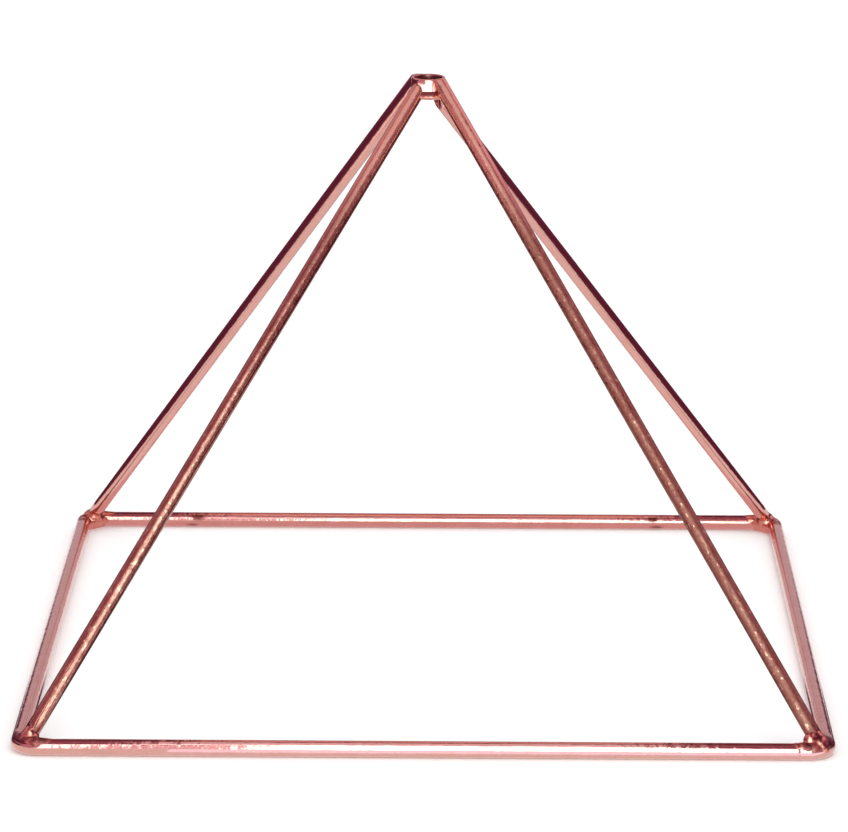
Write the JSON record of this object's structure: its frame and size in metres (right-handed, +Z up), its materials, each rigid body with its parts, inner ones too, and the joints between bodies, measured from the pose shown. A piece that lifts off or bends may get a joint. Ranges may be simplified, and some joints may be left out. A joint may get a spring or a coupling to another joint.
{
  "type": "open pyramid frame",
  "caption": "Open square pyramid frame of round copper rod, brazed at the base corners and to a short open tube collar at the flat-topped apex.",
  "frame": {"origin": "middle of the square base, on the surface that the frame stands on", "axes": "+Z up to the apex, +X to the right and +Y to the back of the picture, both along sides of the base"},
  "size_m": [0.2552, 0.2552, 0.1894],
  "materials": {
    "copper_rod": "polished drawn copper rod",
    "copper_tube": "polished copper tube",
    "braze": "bright copper braze, lightly pitted"
  },
  "bodies": {
    "root": {"base_rod": "copper_rod", "slanting_rod_front_left": "copper_rod", "slanting_rod_front_right": "copper_rod", "slanting_rod_back_right": "copper_rod", "slanting_rod_back_left": "copper_rod", "apex_collar": "copper_tube", "corner_braze_front_left": "braze", "corner_braze_front_right": "braze", "corner_braze_back_right": "braze", "corner_braze_back_left": "braze", "collar_braze_front": "braze", "collar_braze_right": "braze", "collar_braze_back": "braze", "collar_braze_left": "braze"}
  },
  "joints": []
}
